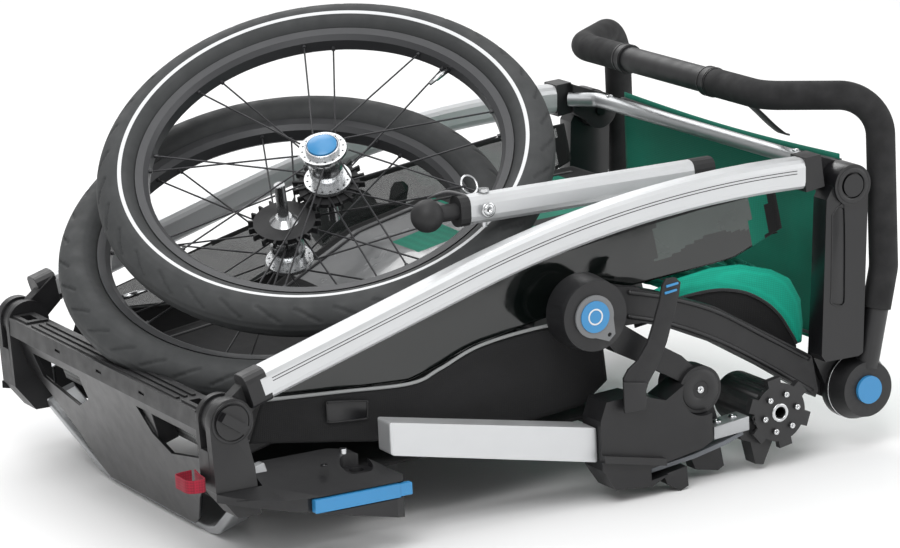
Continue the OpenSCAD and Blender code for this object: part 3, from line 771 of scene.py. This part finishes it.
def make_side_fabric(s, side):
    """The lower side panel with its piping and blank label, and the window above it."""
    def bulge(u, v):
        return s * (233.5 + 3.0 * math.sin(math.pi * v) * math.sin(math.pi * u))

    panel = cloth_sheet("lower_side_" + side, between(SIDE_LOW, SIDE_TOP, bulge, 2.2, 3 + s), 90, 22,
                        0.0012, "black", "base")
    if s < 0:
        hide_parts("lower_side_fabric")
    piping = curve_through([P(x, s * 235.4, z + 1.5) for x, z in SIDE_TOP])
    sweep("side_piping_" + side, piping, ring_profile(0.0019, 8), "piping", "base")
    slab("blank_label_" + side, LABEL, s * 237.6, s * 239.2, "smooth", "base", 0.0005)
    rim = curve_through([P(x, s * 239.2, z) for x, z in LABEL + LABEL[:1]], 3)[:-1]
    sweep("label_edge_" + side, rim, ring_profile(0.0009, 6), "plastic", "base",
          closed=True)

    def glass(u, v):
        return s * (228.6 + 1.6 * math.sin(math.pi * v) * math.sin(math.pi * u))

    window = cloth_sheet("side_window_" + side, between(GLASS_LOW, GLASS_TOP, glass, 1.8, 11 + s), 110,
                         26, 0.0008, "window" if s < 0 else "far_film", "base")
    for look in ("pale", "black", "green"):
        window.data.materials.append(M[look])
    pale, black, green = 1, 2, 3
    for face in window.data.polygons:
        spot = face.center
        x = (spot.x + OFF_X) * 1000
        low, high = height_at(GLASS_LOW, x), height_at(GLASS_TOP, x)
        v = (spot.z * 1000 - low) / (high - low)
        if x > BINDING_REAR or x < BINDING_FRONT or v > BINDING_TOP:
            face.material_index = black
        elif s < 0 and x > GREEN_FROM:
            face.material_index = green
        # painted reflection: pale film on the upper rear of the near window, with a wavy lower edge
        elif s < 0 and x > PAINTED_REFLECTION_FROM and v > 0.40 + 0.10 * math.sin(x / 23):
            face.material_index = pale
    if s < 0:
        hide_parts("side_windows")


def make_top_cover():
    """The clear cover over the cabin, with its borders, seams and zips."""
    profile = line_of(COVER_LINE)

    def at(u, v):
        p = along(profile, u)
        y = -0.223 + 0.446 * v
        soft = math.sin(math.pi * v) ** 0.5 * math.sin(math.pi * u) ** 0.4
        q = Vector((p.x, y, p.z))
        q.z += soft * (0.0024 * crumple(q, 6, 21) - 0.0015 * math.sin(math.pi * v))
        return q

    cover = cloth_sheet("top_cover_film", at, 130, 90, 0.0012, "clear", "base")
    cover.data.materials.append(M["black"])
    cover.data.materials.append(M["green"])
    for face in cover.data.polygons:
        x, y = (face.center.x + OFF_X) * 1000, face.center.y * 1000
        border = abs(y) > BORDER_SIDE or x < BORDER_FRONT or x > BORDER_REAR
        seam = abs(x - CROSS_SEAM - 0.12 * y) < 9 or abs(y - LONG_SEAM) < 11
        green = x > 500 or (404 < x < 468 and 58 < y < 124)
        if border or seam:
            face.material_index = 1
        elif green:
            face.material_index = 2
    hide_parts("top_cover")
    for s, side in SIDES:
        zip_line = [at(k / 80, 0.06 if s < 0 else 0.94) + Vector((0, 0, 0.0012)) for k in range(2, 79)]
        sweep("cover_zip_" + side, zip_line, strap_profile(0.006, 0.0014), "webbing", "base")


def make_seat():
    """The padded seat arch, with a cloth flank, a mesh and a hem on each side."""
    arch = line_of(SEAT_ARCH)

    def at(u, v):
        p = along(arch, u)
        edge = abs(2 * v - 1)
        return Vector((p.x, -0.214 + 0.428 * v, p.z - 0.007 * edge ** 6))

    pad = sheet_grid("seat_pad", at, 60, 100, 0.0035, "bright", "base")
    puff(pad, 0.005, 0.0035, 4.0)
    for vert in pad.data.vertices:
        vert.co.z += 0.0014 * crumple(vert.co, 16, 5)
    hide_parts("seat_fabric")
    for s, side in SIDES:
        flank = between(SEAT_INNER, SEAT_ARCH, lambda u, v: s * (222.5 + 3.2 * math.sin(math.pi * v)),
                        3.0, 31 + s)
        cloth_sheet("seat_flank_" + side, flank, 70, 14, 0.0014, "bright", "base")
        net = between(MESH_LOW, SEAT_INNER, lambda u, v: s * (221.5 + 1.2 * math.sin(math.pi * v)), 1.2, 41)
        cloth_sheet("seat_mesh_" + side, net, 60, 12, 0.0009, "black", "base")
        hem = curve_through([P(x, s * 224.0, z) for x, z in SEAT_INNER], 6)
        sweep("seat_hem_" + side, hem, ring_profile(0.0017, 8), "webbing", "base")


def make_roof():
    """The green cloth between the roof arms, with two hems and two seams."""
    def at(u, v):
        z = 102 + 220 * v
        x = 775.5 + 3.2 * v + 2.0 * math.sin(math.pi * u) * math.sin(math.pi * v)
        q = P(x, -229 + 458 * u, z - 5 * math.sin(math.pi * u) * v)
        q.x += 0.0012 * crumple(q, 10, 51) * math.sin(math.pi * v)
        return q

    roof = cloth_sheet("roof_cloth", at, 90, 44, 0.0014, "green", "roof_arms")
    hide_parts("roof_fabric")
    for k, v in enumerate((0.03, 0.97)):
        hem = [at(i / 60, v) + Vector((-0.0010, 0, 0)) for i in range(61)]
        sweep(f"roof_hem_{k}", hem, strap_profile(0.009, 0.0016), "webbing", "roof_arms")
    for k, u in enumerate((0.33, 0.67)):
        seam = [at(u, i / 30) + Vector((0.0009, 0, 0)) for i in range(1, 30)]
        sweep(f"roof_seam_{k}", seam, ring_profile(0.0008, 6), "green", "roof_arms")


def make_floor():
    """The cabin's floor cloth."""
    profile = line_of(FLOOR_LINE)

    def at(u, v):
        p = along(profile, u)
        q = Vector((p.x, -0.227 + 0.454 * v, p.z))
        q.z += 0.0012 * crumple(q, 8, 61)
        return q

    floor = cloth_sheet("floor_cloth", at, 60, 60, 0.003, "black", "base")
    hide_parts("floor_fabric")


def make_guard_mesh():
    """The light mesh behind the sloping footwell guard."""
    tilt = math.radians(17.6)

    def at(u, v):
        y = (-225 + 450 * u) / 1000
        s = (91 + 52 * v) / 1000
        depth = (30.7 + 1.2 * math.sin(math.pi * u) * math.sin(math.pi * v)) / 1000
        x = P(38, 0, 0).x - math.sin(tilt) * s + math.cos(tilt) * depth
        return Vector((x, y, math.cos(tilt) * s + math.sin(tilt) * depth))

    net = cloth_sheet("guard_net", at, 80, 14, 0.0012, "mesh", "base")
    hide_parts("footwell_mesh")


def make_webbing():
    """The red pull loop and the handlebar's wrist strap."""
    lo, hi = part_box("pull_loop")
    mid_z = (lo.z + hi.z) / 2
    x0, x1, y0, y1 = lo.x + 0.0012, hi.x - 0.0012, lo.y + 0.0015, hi.y - 0.0015
    loop = curve_through([Vector((x1, y1, mid_z)), Vector((x1 - 0.004, (y0 + y1) / 2, mid_z)),
                          Vector((x1 - 0.006, y0 + 0.004, mid_z)), Vector(((x0 + x1) / 2, y0, mid_z)),
                          Vector((x0 + 0.001, y0 + 0.005, mid_z)), Vector((x0, (y0 + y1) / 2, mid_z)),
                          Vector((x0 + 0.002, y1 - 0.004, mid_z)), Vector((x1 - 0.004, y1, mid_z))])
    flat = [(0.0008 * a, 0.0068 * b) for a, b in ((-1, -1), (1, -1), (1, 1), (-1, 1))]
    pull = sweep("pull_webbing", loop, flat, "red", "base")
    bake(pull, ("BEVEL", {"width": 0.0003, "segments": 2}))
    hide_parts("pull_loop")
    route = curve_through([P(709, -159, 376.5), P(722, -159, 364), P(736, -159, 350),
                           P(749, -159, 339), P(755, -159, 336.5)])
    wrist = sweep("wrist_webbing", route, strap_profile(0.018, 0.0022), "webbing", "handlebar")
    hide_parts("wrist_strap")


STRAP_OUTLINE = [(449.5, 101), (449.5, 139), (456, 148), (468, 156), (480, 172), (489, 194),
                 (497, 216), (501, 232), (506, 238.5), (517, 238.5), (523.5, 232), (521, 219),
                 (513, 196), (504, 170), (493, 148), (480, 130), (474, 116), (473, 101)]
CLIP_OUTLINE = [(447.5, 101.5), (447.5, 136), (475.5, 131), (474.5, 101.5)]


def make_straps():
    """The two rubber hold-down straps, each with two blue ribs and a clip."""
    for s, side in SIDES:
        strap = slab("hold_down_strap_" + side, STRAP_OUTLINE, s * 304.6, s * 308.9, "rubber",
                     "strap_" + side, 0.0011)
        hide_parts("strap_" + side)
        for k, (x, z) in enumerate(((512, 231.5), (510, 224.5))):
            ends = [(x - 7.5, z - 2.4), (x + 7.5, z - 0.6), (x + 7.5, z + 2.0), (x - 7.5, z + 0.4)]
            slab(f"strap_rib_{side}_{k}", ends, s * 308.4, s * 310.6, "blue", "strap_" + side,
                 0.0008)
        slab("strap_clip_" + side, CLIP_OUTLINE, s * 308.4, s * 311.4, "plastic", "strap_" + side,
             0.0012)


# ---------------------------------------------------------------- studio floor
FLOOR_HALF, FLOOR_Z = 9, -0.0002


def make_floor_plane():
    """The pale floor that the trailer stands on."""
    mesh = bpy.data.meshes.new("studio_floor")
    corners = ((-1, -1), (1, -1), (1, 1), (-1, 1))
    mesh.from_pydata([(FLOOR_HALF * x, FLOOR_HALF * y, FLOOR_Z) for x, y in corners], [],
                     [(0, 1, 2, 3)])
    ground = bpy.data.objects.new("studio_floor", mesh)
    g = Graph("pale_floor")
    g.link(g.mix(g.noise(3, 3), (0.86, 0.86, 0.86, 1), (0.90, 0.90, 0.90, 1)), g.shader.inputs["Base Color"])
    g.shader.inputs["Roughness"].default_value = 0.75
    mesh.materials.append(g.mat)
    bpy.context.scene.collection.objects.link(ground)


make_camera()
make_studio()
make_floor_plane()
dress_cad()
for wheel in ("upper", "lower"):
    make_tyre(wheel)
make_frame_detail()
for sign, hand in SIDES:
    make_side_fabric(sign, hand)
make_top_cover()
make_seat()
make_roof()
make_floor()
make_guard_mesh()
make_webbing()
make_straps()
